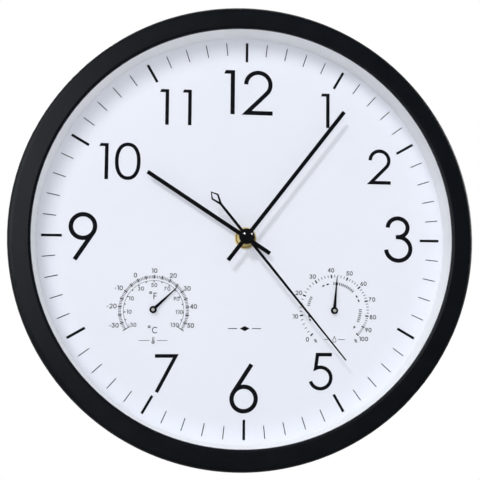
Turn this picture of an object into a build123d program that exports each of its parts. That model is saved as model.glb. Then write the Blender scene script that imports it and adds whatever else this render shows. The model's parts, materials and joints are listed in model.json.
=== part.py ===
from build123d import *
import os
from math import cos, hypot, radians, sin, sqrt

# Round quartz wall clock with a thermometer and a hygrometer on its dial.
# The wall is the plane Y = 0, the dial faces -Y and twelve o'clock points to +Z.
# Sizes are in millimetres, and a depth is counted from the wall towards the viewer.

# Clearances
loose_gap = 0.3
running_gap = 0.05
screw_gap = 0.05

# Case, from the outside inwards
case_radius = 150.0
bezel_wall = 2.6
bezel_front = 2.2
bezel_edge_round = 5.0
bezel_face_fall = 0.8
bezel_bevel = 1.2
bezel_bevel_rise = 0.7
bezel_inner_fall = 2.5
bezel_rear_depth = 6.0
bezel_post_radius = 3.6
bezel_post_gap = 0.4
bezel_screw_inset = 2.8
bezel_screw_count = 6
bezel_rib_wall = 1.2
bezel_rib_drop = 3.0
spacer_wall = 1.8
lip_overhang = 2.2

# Depths of the case, from the wall to the front
recess_depth = 21.0
floor_thickness = 2.0
dial_thickness = 0.5
glass_thickness = 2.0
cap_glass_gap = 2.4

# Back of the case
rear_wall_thickness = 2.4
rear_rib_thickness = 1.6
rear_rib_height = 4.0
rear_ring_radius = 104.0
rear_rib_count = 12
shaft_hole_radius = 4.2

# Hanger plate
hanger_wall_gap = 13.75
hanger_width = 44.0
hanger_tall = 22.0
hanger_corner = 3.0
hanger_thickness = 1.2
hanger_rear_depth = 2.0
hanger_post_radius = 4.0
hanger_post_spacing = 32.0
keyhole_radius = 5.0
keyhole_slot_radius = 2.25
keyhole_drop = 4.0
keyhole_rise = 9.0

# Self-tapping screws
screw_radius = 1.45
screw_head_radius = 2.9
screw_head_height = 1.8
screw_length = 9.0
screw_drive_width = 0.8
screw_drive_share = 0.62
screw_drive_depth = 0.7

# Quartz movement box
movement_corner = 3.0
movement_wall = 1.4
movement_front_wall = 1.5
movement_cover = 1.2
knob_edge_gap = 2.6
gasket_thickness = 0.8
gasket_radius = 12.0
locating_gap = 0.4

# Battery and contacts
battery_diameter = 14.2
battery_length = 49.2
battery_nub_radius = 2.75
battery_nub_height = 1.3
battery_edge_round = 0.8
battery_gap = 0.3
battery_bay_wall = 1.2
battery_spring_gap = 0.45
contact_thickness = 0.4
contact_width = 8.0
contact_bow = 1.4

# Centre fixing
bush_radius = 4.0
bush_flange_radius = 6.5
bush_flange_thickness = 1.0
washer_radius = 7.3
washer_thickness = 0.5
nut_radius = 6.2
nut_height = 2.2
nut_notch_width = 1.2
nut_notch_depth = 0.9
nut_notch_count = 4
bush_stick_out = 0.6

# Coaxial pipes and arbors
second_arbor_radius = 0.55
minute_pipe_radius = 1.6
hour_pipe_radius = 2.6
small_arbor_radius = 0.4
knob_arbor_radius = 1.5
minute_post_radius = 0.8
boss_wall = 0.8
pivot_depth = 0.7

# Gear teeth, as shares of the module and of the tooth pitch
tooth_addendum = 0.7
tooth_dedendum = 1.0
tooth_tip_share = 0.11
tooth_root_share = 0.25
wheel_thickness = 0.7
wheel_gap = 0.5

# Gear counts and modules
rotor_pinion_teeth = 6
intermediate_teeth = 36
rotor_module = 0.35
intermediate_pinion_teeth = 8
second_wheel_teeth = 40
second_module = 0.36
second_pinion_teeth = 8
third_wheel_teeth = 60
third_module = 0.36
third_pinion_teeth = 8
centre_wheel_teeth = 64
cannon_teeth = 12
minute_wheel_teeth = 36
cannon_module = 0.5
minute_pinion_teeth = 10
hour_wheel_teeth = 40
knob_pinion_teeth = 10

# Where the arbors stand about the centre, in degrees from +X towards +Z
third_direction = 135.0
minute_wheel_direction = 45.0
knob_direction = 60.0
intermediate_direction = -20.0
rotor_direction = 20.0

# Stepping motor and board
magnet_radius = 2.8
magnet_height = 2.0
stator_hole_radius = 3.3
stator_ring_width = 2.6
stator_thickness = 0.8
stator_bar_width = 2.3
coil_bottom = 7.0
coil_top = 22.0
coil_core_width = 2.6
coil_core_thickness = 0.8
bobbin_wall = 0.7
bobbin_flange_radius = 3.6
bobbin_flange_thickness = 0.8
winding_radius = 3.1
board_thickness = 0.8
board_width = 15.2
board_side_gap = 1.0
board_top_gap = 3.6
crystal_radius = 1.0
crystal_length = 6.0
crystal_edge_gap = 1.0
crystal_round_share = 0.33
chip_radius = 3.0
chip_height = 1.2
chip_edge_gap = 3.0
chip_round_share = 0.8

# Setting knob
knob_radius = 6.0
knob_height = 2.2
knob_notch_count = 20
knob_notch_radius = 0.5
knob_cover_gap = 0.6
knob_socket_depth = 1.1

# Hands: gaps in the stack over the nut, and the time shown, as degrees from twelve
bush_hand_gap = 1.7
hand_gap = 3.0
collet_gap = 0.8
hand_thickness = 0.5
hour_angle = 303.0
minute_angle = 37.4
second_angle = 140.7
hour_hand_length = 77.8
hour_hand_tail = 19.2
hour_hand_width = 2.7
hour_hub_radius = 4.3
minute_hand_length = 107.6
minute_hand_tail = 19.5
minute_hand_width = 2.7
minute_hub_radius = 3.8
second_hand_length = 103.6
second_tip_width = 0.9
second_stem_width = 2.0
second_neck = 27.0
second_neck_width = 1.6
kite_shoulder = 33.1
kite_half_width = 2.9
kite_tip = 37.4
kite_outline = 0.9
kite_neck_share = 2.0
kite_tip_share = 1.3
second_hub_radius = 3.4
second_collet_radius = 1.3
cap_radius = 5.1
cap_side = 0.8
cap_dome = 1.8

# Thermometer and hygrometer: where they stand and what their pointers show
gauge_offset = 60.4
gauge_height = -48.1
thermometer_angle = 46.3
hygrometer_angle = 4.8
pointer_length = 22.8
pointer_tail = 1.8
pointer_hub_width = 2.2
pointer_tip_width = 0.4
pointer_thickness = 0.3
pointer_height = 1.4
pointer_hub_radius = 2.4
pointer_hub_height = 1.0
gauge_pin_rise = 0.5
gauge_arbor_radius = 1.05
gauge_hole_radius = 1.4
gauge_bush_radius = 3.0
gauge_bush_flange = 4.6
gauge_bush_flange_thickness = 0.8
collar_radius = 2.0
collar_gap = 0.25
bracket_side_gap = 2.55
bracket_foot_length = 8.0
bracket_width = 9.0
bracket_thickness = 1.0
bracket_rear_depth = 7.5
coil_strip = 0.5
coil_pitch = 1.3
coil_half_turns = 9
coil_height = 4.0
coil_bracket_gap = 2.5
coil_gap_samples = 18
coil_tail = 3.0
gauge_boss_radius = 3.2
gauge_screw_radius = 1.1
gauge_screw_head_radius = 2.2
gauge_screw_head_height = 1.4
gauge_screw_length = 4.0

# Depths that follow from the sizes above
floor_front = recess_depth + floor_thickness
dial_front = floor_front + dial_thickness
movement_front = recess_depth - gasket_thickness
movement_rear = movement_front - battery_bay_wall - battery_diameter - 2 * battery_gap
cover_front = movement_rear + movement_cover
train_front = movement_front - movement_front_wall
bush_front = dial_front + washer_thickness + nut_height + bush_stick_out
hour_hand_depth = bush_front + bush_hand_gap
minute_hand_depth = hour_hand_depth + hand_thickness + hand_gap
second_hand_depth = minute_hand_depth + hand_thickness + hand_gap
cap_rear = second_hand_depth + hand_thickness
glass_rear = cap_rear + cap_side + cap_dome + cap_glass_gap
glass_front = glass_rear + glass_thickness
case_front = glass_front + bezel_front
pointer_depth = dial_front + pointer_height

# Radii that follow from the sizes above
bezel_inside = case_radius - bezel_wall
floor_radius = bezel_inside - loose_gap
screw_circle = floor_radius - bezel_screw_inset
rib_outside = screw_circle - bezel_post_radius - bezel_post_gap
rib_inside = rib_outside - bezel_rib_wall
spacer_radius = rib_inside - loose_gap
spacer_inside = spacer_radius - spacer_wall
bezel_inner_radius = spacer_inside - lip_overhang
rear_wall_outside = screw_circle - screw_head_radius - loose_gap
rear_wall_inside = rear_wall_outside - rear_wall_thickness
hanger_corner_radius = rear_wall_inside - hanger_wall_gap
hanger_top = sqrt(hanger_corner_radius ** 2 - (hanger_width / 2) ** 2)
hanger_height = hanger_top - hanger_tall / 2

# Gauge coils and the brackets that span them
coil_start_radius = collar_radius + collar_gap + coil_strip / 2
coil_end_radius = coil_start_radius + (coil_half_turns - 1) * coil_pitch / 2
bracket_half_span = coil_end_radius + coil_strip / 2 + 2 * bracket_thickness + bracket_side_gap
bracket_front_depth = bracket_rear_depth + bracket_thickness
coil_rear_depth = bracket_front_depth + coil_bracket_gap

# Radii of the coaxial pipes
minute_pipe_bore = second_arbor_radius + running_gap
hour_pipe_bore = minute_pipe_radius + running_gap
bush_bore = hour_pipe_radius + running_gap


def polar(radius, direction, start=(0.0, 0.0)):
    turn = radians(direction)
    return (start[0] + radius * cos(turn), start[1] + radius * sin(turn))


# Arbor places, from the centre distances of the meshing pairs
third_distance = third_module * (second_pinion_teeth + third_wheel_teeth) / 2
third_place = polar(third_distance, third_direction)
centre_module = 2 * third_distance / (third_pinion_teeth + centre_wheel_teeth)
minute_wheel_distance = cannon_module * (cannon_teeth + minute_wheel_teeth) / 2
minute_wheel_place = polar(minute_wheel_distance, minute_wheel_direction)
hour_module = 2 * minute_wheel_distance / (minute_pinion_teeth + hour_wheel_teeth)
knob_distance = cannon_module * (minute_wheel_teeth + knob_pinion_teeth) / 2
knob_place = polar(knob_distance, knob_direction, minute_wheel_place)
intermediate_distance = second_module * (second_wheel_teeth + intermediate_pinion_teeth) / 2
intermediate_place = polar(intermediate_distance, intermediate_direction)
rotor_distance = rotor_module * (intermediate_teeth + rotor_pinion_teeth) / 2
rotor_place = polar(rotor_distance, rotor_direction, intermediate_place)

# Movement box: bays for the wheels above and the battery below
contact_span = battery_length + battery_nub_height + running_gap + contact_bow + battery_spring_gap
bay_half_width = contact_span / 2 + contact_thickness
half_width = bay_half_width + movement_wall
movement_width = 2 * half_width
movement_top = knob_place[1] + knob_radius + knob_edge_gap
train_bay_top = movement_top - movement_wall
centre_wheel_tip = centre_module * (centre_wheel_teeth / 2 + tooth_addendum)
train_bay_bottom = -centre_wheel_tip - loose_gap
battery_bay_top = train_bay_bottom - movement_wall
battery_bay_bottom = battery_bay_top - battery_diameter - 2 * battery_gap
movement_bottom = battery_bay_bottom - movement_wall
movement_tall = movement_top - movement_bottom
movement_middle = (movement_top + movement_bottom) / 2
battery_height = (battery_bay_top + battery_bay_bottom) / 2
battery_radius = battery_diameter / 2
battery_depth = movement_rear + battery_gap + battery_radius
battery_bay_front = battery_depth + battery_radius + battery_gap
coil_axis_x = bay_half_width - locating_gap - bobbin_flange_radius
board_left = -bay_half_width + board_side_gap
board_right = board_left + board_width
board_top = train_bay_top - board_top_gap

# Depths of the wheels, from the rear cover forwards
intermediate_wheel_depth = cover_front + wheel_gap
second_wheel_depth = intermediate_wheel_depth + wheel_thickness + wheel_gap
third_wheel_depth = second_wheel_depth + wheel_thickness + wheel_gap
centre_wheel_depth = third_wheel_depth + wheel_thickness + 2 * wheel_gap
minute_wheel_depth = centre_wheel_depth + wheel_thickness + 2 * wheel_gap
hour_wheel_depth = minute_wheel_depth + wheel_thickness + 2 * wheel_gap
magnet_depth = second_wheel_depth + wheel_thickness + wheel_gap
stator_depth = magnet_depth + (magnet_height - stator_thickness) / 2
coil_depth = stator_depth + stator_thickness + coil_core_thickness / 2
board_front = cover_front + board_thickness


def at_depth(depth, center=(0.0, 0.0), clock_angle=0.0):
    turn = radians(clock_angle)
    across = (cos(turn), 0, -sin(turn))
    return Plane(origin=(center[0], -depth, center[1]), x_dir=across, z_dir=(0, -1, 0))


# Radius across and depth up, for profiles turned about the clock's axis
turning_plane = Plane(origin=(0, 0, 0), x_dir=(1, 0, 0), z_dir=(0, 0, -1))


def add_disc(radius, start, end, center=(0.0, 0.0), mode=Mode.ADD):
    with BuildSketch(at_depth(start, center)) as disc:
        Circle(radius)
    extrude(disc.sketch, amount=end - start, mode=mode)


def add_plate(left, right, bottom, top, start, end, mode=Mode.ADD):
    with BuildSketch(at_depth(start, ((left + right) / 2, (bottom + top) / 2))) as plate:
        Rectangle(right - left, top - bottom)
    extrude(plate.sketch, amount=end - start, mode=mode)


def add_outline(points, start, end, center=(0.0, 0.0), clock_angle=0.0, mode=Mode.ADD):
    with BuildSketch(at_depth(start, center, clock_angle)) as outline:
        with BuildLine():
            Polyline(*points, close=True)
        make_face()
    extrude(outline.sketch, amount=end - start, mode=mode)


def gear_points(teeth, module, phase):
    pitch_radius = teeth * module / 2
    tip = pitch_radius + tooth_addendum * module
    root = pitch_radius - tooth_dedendum * module
    corners = (
        (root, -tooth_root_share),
        (tip, -tooth_tip_share),
        (tip, tooth_tip_share),
        (root, tooth_root_share),
    )
    points = []
    for tooth in range(teeth):
        for radius, share in corners:
            points.append(polar(radius, phase + (tooth + share) * 360 / teeth))
    return points


def add_gear(teeth, module, start, end, center=(0.0, 0.0), phase=0.0):
    add_outline(gear_points(teeth, module, phase), start, end, center)


def mesh_phase(direction, driver_teeth, driver_phase, teeth):
    # The gap of one gear stands where the tooth of the other one is.
    pitch_share = (direction - driver_phase) / (360 / driver_teeth)
    return direction + 180 + (pitch_share + 0.5) * 360 / teeth


def save(piece, name):
    piece.part.label = name
    export_step(piece.part, f"parts/{name}.step")


os.makedirs("parts", exist_ok=True)

# Front bezel: a black ring with a rounded outer edge, a skirt, and posts for the screws
shoulder_depth = case_front - bezel_face_fall - bezel_edge_round
face_outer = case_radius - bezel_edge_round
face_inner = bezel_inner_radius + bezel_bevel
screw_places = [polar(screw_circle, 360 / bezel_screw_count * (i + 0.5)) for i in range(bezel_screw_count)]
with BuildPart() as front_bezel:
    with BuildSketch(turning_plane):
        with BuildLine():
            Line((case_radius, bezel_rear_depth), (case_radius, shoulder_depth))
            RadiusArc(
                (case_radius, shoulder_depth),
                (face_outer, case_front - bezel_face_fall),
                -bezel_edge_round,
            )
            Polyline(
                (face_outer, case_front - bezel_face_fall),
                (face_inner, case_front),
                (bezel_inner_radius, case_front - bezel_bevel_rise),
                (bezel_inner_radius, glass_front),
                (rib_inside, glass_front),
                (rib_inside, glass_front - bezel_rib_drop),
                (rib_outside, glass_front - bezel_rib_drop),
                (rib_outside, glass_front),
                (bezel_inside, glass_front - bezel_inner_fall),
                (bezel_inside, bezel_rear_depth),
                (case_radius, bezel_rear_depth),
            )
        make_face()
    revolve(axis=Axis.Y)
    for place in screw_places:
        add_disc(bezel_post_radius, floor_front, glass_front, place)
    for place in screw_places:
        add_disc(screw_radius + screw_gap, floor_front, floor_front + screw_length, place, Mode.SUBTRACT)
save(front_bezel, "front_bezel")

# Flat glass, held between the spacer ring and the bezel's lip
with BuildPart() as front_glass:
    add_disc(spacer_radius, glass_rear, glass_front)
save(front_glass, "front_glass")

# White wall between the dial and the glass
with BuildPart() as spacer_ring:
    with BuildSketch(at_depth(dial_front)):
        Circle(spacer_radius)
        Circle(spacer_inside, mode=Mode.SUBTRACT)
    extrude(amount=glass_rear - dial_front)
save(spacer_ring, "spacer_ring")

# Printed dial sheet with holes for the hands and the two pointers
gauge_places = [(-gauge_offset, gauge_height), (gauge_offset, gauge_height)]
with BuildPart() as dial:
    add_disc(spacer_radius, floor_front, dial_front)
    add_disc(shaft_hole_radius, floor_front, dial_front, mode=Mode.SUBTRACT)
    for place in gauge_places:
        add_disc(gauge_hole_radius, floor_front, dial_front, place, Mode.SUBTRACT)
save(dial, "dial")

# Back case: floor under the dial, rear wall that meets the wall, ribs, bosses and posts
rib_rear = recess_depth - rear_rib_height
hanger_posts = [(side * hanger_post_spacing / 2, hanger_height) for side in (-1, 1)]
hanger_front_depth = hanger_rear_depth + hanger_thickness
bracket_screw_reach = bracket_half_span + bracket_foot_length / 2
bracket_bosses = [
    (place[0] + side * bracket_screw_reach, place[1]) for place in gauge_places for side in (-1, 1)
]
frame_width = movement_width + 2 * locating_gap
frame_tall = movement_tall + 2 * locating_gap
with BuildPart() as back_case:
    add_disc(floor_radius, recess_depth, floor_front)
    with BuildSketch(at_depth(0)):
        Circle(rear_wall_outside)
        Circle(rear_wall_inside, mode=Mode.SUBTRACT)
    extrude(amount=recess_depth)
    with BuildSketch(at_depth(rib_rear)):
        Circle(rear_ring_radius + rear_rib_thickness)
        Circle(rear_ring_radius, mode=Mode.SUBTRACT)
        rib_reach = rear_wall_inside + rear_wall_thickness / 2 - rear_ring_radius
        with PolarLocations(rear_ring_radius + rib_reach / 2, rear_rib_count):
            Rectangle(rib_reach, rear_rib_thickness)
        with Locations((0, movement_middle)):
            Rectangle(frame_width + 2 * rear_rib_thickness, frame_tall + 2 * rear_rib_thickness)
            Rectangle(frame_width, frame_tall, mode=Mode.SUBTRACT)
    extrude(amount=rear_rib_height)
    for place in bracket_bosses:
        add_disc(gauge_boss_radius, rib_rear, recess_depth, place)
    for place in hanger_posts:
        add_disc(hanger_post_radius, hanger_front_depth, recess_depth, place)
    add_disc(shaft_hole_radius, recess_depth, floor_front, mode=Mode.SUBTRACT)
    for place in gauge_places:
        add_disc(gauge_bush_radius + screw_gap, recess_depth, floor_front, place, Mode.SUBTRACT)
    for place in bracket_bosses:
        add_disc(
            gauge_screw_radius + screw_gap, rib_rear, rib_rear + gauge_screw_length, place, Mode.SUBTRACT
        )
    for place in hanger_posts:
        add_disc(
            screw_radius + screw_gap,
            hanger_front_depth,
            hanger_front_depth + screw_length,
            place,
            Mode.SUBTRACT,
        )
    for place in screw_places:
        add_disc(screw_radius + screw_gap, recess_depth, floor_front, place, Mode.SUBTRACT)
save(back_case, "back_case")


def add_screw(place, seat_depth, radius, head_radius, head_height, length):
    head_rear = seat_depth - head_height
    add_disc(head_radius, head_rear, seat_depth, place)
    add_disc(radius, seat_depth, seat_depth + length, place)
    with BuildSketch(at_depth(head_rear, place)) as cross:
        for turn in (0, 90):
            Rectangle(screw_drive_share * 2 * head_radius, screw_drive_width, rotation=turn)
    extrude(cross.sketch, amount=screw_drive_depth, mode=Mode.SUBTRACT)


# Screws that hold the bezel to the back case
with BuildPart() as bezel_screws:
    for place in screw_places:
        add_screw(place, recess_depth, screw_radius, screw_head_radius, screw_head_height,
                  floor_thickness + screw_length - loose_gap)
save(bezel_screws, "bezel_screws")

# Steel hanger plate with a keyhole for a nail or screw
with BuildPart() as hanger_plate:
    with BuildSketch(at_depth(hanger_rear_depth, (0, hanger_height))):
        RectangleRounded(hanger_width, hanger_tall, hanger_corner)
        with Locations((0, -keyhole_drop)):
            Circle(keyhole_radius, mode=Mode.SUBTRACT)
        with Locations((0, keyhole_rise / 2 - keyhole_drop)):
            Rectangle(2 * keyhole_slot_radius, keyhole_rise, mode=Mode.SUBTRACT)
        with Locations((0, keyhole_rise - keyhole_drop)):
            Circle(keyhole_slot_radius, mode=Mode.SUBTRACT)
        with GridLocations(hanger_post_spacing, 1, 2, 1):
            Circle(screw_radius + screw_gap, mode=Mode.SUBTRACT)
    extrude(amount=hanger_thickness)
save(hanger_plate, "hanger_plate")

# Screws of the hanger plate
with BuildPart() as hanger_screws:
    for place in hanger_posts:
        add_screw(place, hanger_rear_depth, screw_radius, screw_head_radius,
                  hanger_rear_depth - loose_gap, hanger_thickness + screw_length - loose_gap)
save(hanger_screws, "hanger_screws")

# Movement housing: two bays open to the rear, bearing bosses and the post of the minute wheel
third_boss_depth = centre_wheel_depth + wheel_thickness + wheel_gap
rotor_boss_depth = magnet_depth + magnet_height + 2 * wheel_gap
knob_boss_depth = minute_wheel_depth + wheel_thickness + wheel_gap
minute_post_depth = minute_wheel_depth - wheel_gap / 2
knob_pivot_radius = knob_arbor_radius - wheel_gap
contact_slot = contact_thickness + 2 * loose_gap
with BuildPart() as movement_housing:
    with BuildSketch(at_depth(cover_front, (0, movement_middle))):
        RectangleRounded(movement_width, movement_tall, movement_corner)
    extrude(amount=movement_front - cover_front)
    add_plate(-bay_half_width, bay_half_width, train_bay_bottom, train_bay_top,
              cover_front, train_front, Mode.SUBTRACT)
    add_plate(-bay_half_width, bay_half_width, battery_bay_bottom, battery_bay_top,
              cover_front, battery_bay_front, Mode.SUBTRACT)
    for side in (-1, 1):
        slot_middle = side * (bay_half_width - contact_slot / 2)
        add_plate(slot_middle - contact_slot / 2, slot_middle + contact_slot / 2,
                  battery_bay_top, train_bay_bottom,
                  cover_front, board_front + contact_width, Mode.SUBTRACT)
    for place, boss_depth, bore in (
        (third_place, third_boss_depth, small_arbor_radius + running_gap),
        (rotor_place, rotor_boss_depth, small_arbor_radius + running_gap),
        (knob_place, knob_boss_depth, knob_pivot_radius + running_gap),
    ):
        add_disc(bore + boss_wall, boss_depth, train_front, place)
        add_disc(bore, boss_depth, boss_depth + 2 * pivot_depth, place, Mode.SUBTRACT)
    add_disc(minute_post_radius, minute_post_depth, train_front, minute_wheel_place)
    add_disc(bush_radius + screw_gap, train_front, movement_front, mode=Mode.SUBTRACT)
save(movement_housing, "movement_housing")

# Rear cover of the wheel bay, with bearings, a post for the intermediate wheel and the knob's hole
intermediate_post_radius = small_arbor_radius + running_gap
intermediate_post_front = second_wheel_depth + wheel_thickness
with BuildPart() as movement_cover_plate:
    cover_bottom = battery_bay_top
    with BuildSketch(at_depth(movement_rear, (0, (movement_top + cover_bottom) / 2))):
        RectangleRounded(movement_width, movement_top - cover_bottom, movement_corner)
    extrude(amount=movement_cover)
    add_disc(intermediate_post_radius, cover_front, intermediate_post_front, intermediate_place)
    for place, arbor in (
        ((0.0, 0.0), second_arbor_radius),
        (third_place, small_arbor_radius),
        (rotor_place, small_arbor_radius),
    ):
        add_disc(arbor + running_gap, cover_front - pivot_depth, cover_front, place, Mode.SUBTRACT)
    add_disc(knob_arbor_radius + running_gap, movement_rear, cover_front, knob_place, Mode.SUBTRACT)
save(movement_cover_plate, "movement_rear_cover")

# Rubber washer between the movement and the case floor
with BuildPart() as movement_gasket:
    add_disc(gasket_radius, movement_front, recess_depth)
    add_disc(bush_radius + screw_gap, movement_front, recess_depth, mode=Mode.SUBTRACT)
save(movement_gasket, "movement_gasket")

# Brass bush that carries the movement through the dial
with BuildPart() as centre_bush:
    add_disc(bush_flange_radius, train_front - bush_flange_thickness, train_front)
    add_disc(bush_radius, train_front, bush_front)
    add_disc(bush_bore, train_front - bush_flange_thickness, bush_front, mode=Mode.SUBTRACT)
save(centre_bush, "centre_bush")

# Brass washer and notched round nut on the dial
with BuildPart() as dial_washer:
    add_disc(washer_radius, dial_front, dial_front + washer_thickness)
    add_disc(bush_radius + screw_gap, dial_front, dial_front + washer_thickness, mode=Mode.SUBTRACT)
save(dial_washer, "dial_washer")

with BuildPart() as dial_nut:
    nut_rear = dial_front + washer_thickness
    add_disc(nut_radius, nut_rear, nut_rear + nut_height)
    add_disc(bush_radius + screw_gap, nut_rear, nut_rear + nut_height, mode=Mode.SUBTRACT)
    with BuildSketch(at_depth(nut_rear + nut_height - nut_notch_depth)):
        with PolarLocations(nut_radius, nut_notch_count):
            Rectangle(2 * nut_notch_width, nut_notch_width)
    extrude(amount=nut_notch_depth, mode=Mode.SUBTRACT)
save(dial_nut, "dial_nut")

# Battery cell and its two sheet contacts
positive_face = bay_half_width - contact_thickness
battery_right = positive_face - running_gap - battery_nub_height
battery_left = battery_right - battery_length
with BuildPart() as battery:
    with BuildSketch(Plane.YZ.offset(battery_left)):
        with Locations((-battery_depth, battery_height)):
            Circle(battery_radius)
    extrude(amount=battery_length)
    fillet(edges().filter_by(GeomType.CIRCLE), battery_edge_round)
    with BuildSketch(Plane.YZ.offset(battery_right)):
        with Locations((-battery_depth, battery_height)):
            Circle(battery_nub_radius)
    extrude(amount=battery_nub_height)
save(battery, "battery")

contact_bottom = battery_height - contact_width / 2
contact_top = battery_height + contact_width / 2
contact_rear = battery_depth - contact_width / 2
contact_front = battery_depth + contact_width / 2
strip_bottom = train_bay_bottom + running_gap
strip_top = strip_bottom + contact_thickness
with BuildPart() as positive_contact:
    add_plate(positive_face, bay_half_width, contact_bottom, contact_top, contact_rear, contact_front)
    add_plate(positive_face, bay_half_width, battery_height, strip_top, board_front, battery_depth)
    add_plate(board_right, bay_half_width, strip_bottom, strip_top, board_front, contact_rear)
save(positive_contact, "positive_contact")

negative_face = -bay_half_width + contact_thickness
with BuildPart() as negative_contact:
    add_plate(-bay_half_width, negative_face, contact_bottom, contact_top, contact_rear, contact_front)
    add_plate(-bay_half_width, negative_face, battery_height, strip_top, board_front, battery_depth)
    with BuildSketch(Plane.XY.offset(contact_bottom)):
        with BuildLine():
            Polyline(
                (negative_face, -contact_front),
                (negative_face + contact_bow, -battery_depth),
                (negative_face, -contact_rear),
                (negative_face, -contact_rear - contact_thickness),
                (negative_face + contact_bow - contact_thickness, -battery_depth),
                (negative_face, -contact_front + contact_thickness),
                close=True,
            )
        make_face()
    extrude(amount=contact_width)
save(negative_contact, "negative_contact")

# Circuit board with its crystal and the drop of resin over the chip
board_bottom = strip_top + running_gap
crystal_place = (board_left + crystal_edge_gap + crystal_radius, (board_bottom + board_top) / 2)
chip_inset = chip_edge_gap + chip_radius
chip_place = (board_left + chip_inset, board_bottom + chip_inset)
with BuildPart() as circuit_board:
    add_plate(board_left, board_right, board_bottom, board_top, cover_front, board_front)
save(circuit_board, "circuit_board")

with BuildPart() as quartz_crystal:
    with BuildSketch(Plane.XY.offset(crystal_place[1])):
        with Locations((crystal_place[0], -board_front - crystal_radius)):
            Circle(crystal_radius)
    extrude(amount=crystal_length)
    fillet(edges().filter_by(GeomType.CIRCLE), crystal_radius * crystal_round_share)
save(quartz_crystal, "quartz_crystal")

with BuildPart() as chip_blob:
    add_disc(chip_radius, board_front, board_front + chip_height, chip_place)
    fillet(edges().filter_by(GeomType.CIRCLE).sort_by(Axis.Y)[0], chip_height * chip_round_share)
save(chip_blob, "chip_blob")

# Stepping motor: stator plate, core, bobbin, winding and rotor
bar_bottom = coil_bottom - wheel_gap - stator_bar_width
bar_top = coil_top + wheel_gap + stator_bar_width
coil_left = coil_axis_x - bobbin_flange_radius
coil_right = coil_axis_x + bobbin_flange_radius
arm_right = coil_left - loose_gap
with BuildPart() as stator:
    add_disc(stator_hole_radius + stator_ring_width, stator_depth, stator_depth + stator_thickness,
             rotor_place)
    for left, right, bottom, top in (
        (arm_right - stator_bar_width, arm_right, rotor_place[1], bar_top),
        (arm_right - stator_bar_width, coil_right, bar_top - stator_bar_width, bar_top),
        (rotor_place[0], coil_right, bar_bottom, bar_bottom + stator_bar_width),
    ):
        add_plate(left, right, bottom, top, stator_depth, stator_depth + stator_thickness)
    add_disc(stator_hole_radius, stator_depth, stator_depth + stator_thickness, rotor_place, Mode.SUBTRACT)
save(stator, "stator")

core_rear = stator_depth + stator_thickness
core_left = coil_axis_x - coil_core_width / 2
core_right = coil_axis_x + coil_core_width / 2
with BuildPart() as coil_core:
    add_plate(core_left, core_right, bar_bottom, bar_top, core_rear, core_rear + coil_core_thickness)
save(coil_core, "coil_core")

bobbin_radius = hypot(coil_core_width, coil_core_thickness) / 2 + bobbin_wall
with BuildPart() as coil_bobbin:
    for start, end, radius in (
        (coil_bottom, coil_top, bobbin_radius),
        (coil_bottom, coil_bottom + bobbin_flange_thickness, bobbin_flange_radius),
        (coil_top - bobbin_flange_thickness, coil_top, bobbin_flange_radius),
    ):
        with BuildSketch(Plane.XY.offset(start)):
            with Locations((coil_axis_x, -coil_depth)):
                Circle(radius)
        extrude(amount=end - start)
    with BuildSketch(Plane.XY.offset(coil_bottom)):
        with Locations((coil_axis_x, -coil_depth)):
            Rectangle(coil_core_width + 2 * running_gap, coil_core_thickness + 2 * running_gap)
    extrude(amount=coil_top - coil_bottom, mode=Mode.SUBTRACT)
save(coil_bobbin, "coil_bobbin")

with BuildPart() as coil_winding:
    with BuildSketch(Plane.XY.offset(coil_bottom + bobbin_flange_thickness + running_gap)):
        with Locations((coil_axis_x, -coil_depth)):
            Circle(winding_radius)
            Circle(bobbin_radius + running_gap, mode=Mode.SUBTRACT)
    extrude(amount=coil_top - coil_bottom - 2 * (bobbin_flange_thickness + running_gap))
save(coil_winding, "coil_winding")

# Wheel train: each wheel takes its phase from the one that it meshes with
rotor_hub_radius = small_arbor_radius + boss_wall
intermediate_pinion_phase = mesh_phase(
    intermediate_direction, second_wheel_teeth, 0, intermediate_pinion_teeth
)
rotor_phase = mesh_phase(rotor_direction, intermediate_teeth, 0, rotor_pinion_teeth)
third_phase = mesh_phase(third_direction, second_pinion_teeth, 0, third_wheel_teeth)
centre_phase = mesh_phase(third_direction + 180, third_pinion_teeth, 0, centre_wheel_teeth)
minute_phase = mesh_phase(minute_wheel_direction, cannon_teeth, 0, minute_wheel_teeth)
hour_phase = mesh_phase(minute_wheel_direction + 180, minute_pinion_teeth, 0, hour_wheel_teeth)
knob_phase = mesh_phase(knob_direction, minute_wheel_teeth, minute_phase, knob_pinion_teeth)
pivot_rear = cover_front - pivot_depth + running_gap

with BuildPart() as rotor_pinion:
    add_disc(small_arbor_radius, pivot_rear, rotor_boss_depth + pivot_depth, rotor_place)
    add_gear(rotor_pinion_teeth, rotor_module, intermediate_wheel_depth - wheel_gap / 2,
             intermediate_wheel_depth + wheel_thickness + wheel_gap / 2, rotor_place, rotor_phase)
    add_disc(rotor_hub_radius, magnet_depth, magnet_depth + magnet_height, rotor_place)
save(rotor_pinion, "rotor_pinion")

with BuildPart() as rotor_magnet:
    add_disc(magnet_radius, magnet_depth, magnet_depth + magnet_height, rotor_place)
    add_disc(rotor_hub_radius + screw_gap, magnet_depth, magnet_depth + magnet_height, rotor_place,
             Mode.SUBTRACT)
save(rotor_magnet, "rotor_magnet")

with BuildPart() as intermediate_wheel:
    pinion_front = second_wheel_depth + wheel_thickness
    add_gear(intermediate_teeth, rotor_module, intermediate_wheel_depth,
             intermediate_wheel_depth + wheel_thickness, intermediate_place)
    add_gear(intermediate_pinion_teeth, second_module, intermediate_wheel_depth, pinion_front,
             intermediate_place, intermediate_pinion_phase)
    add_disc(intermediate_post_radius + running_gap, intermediate_wheel_depth, pinion_front,
             intermediate_place, Mode.SUBTRACT)
save(intermediate_wheel, "intermediate_wheel")

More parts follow.
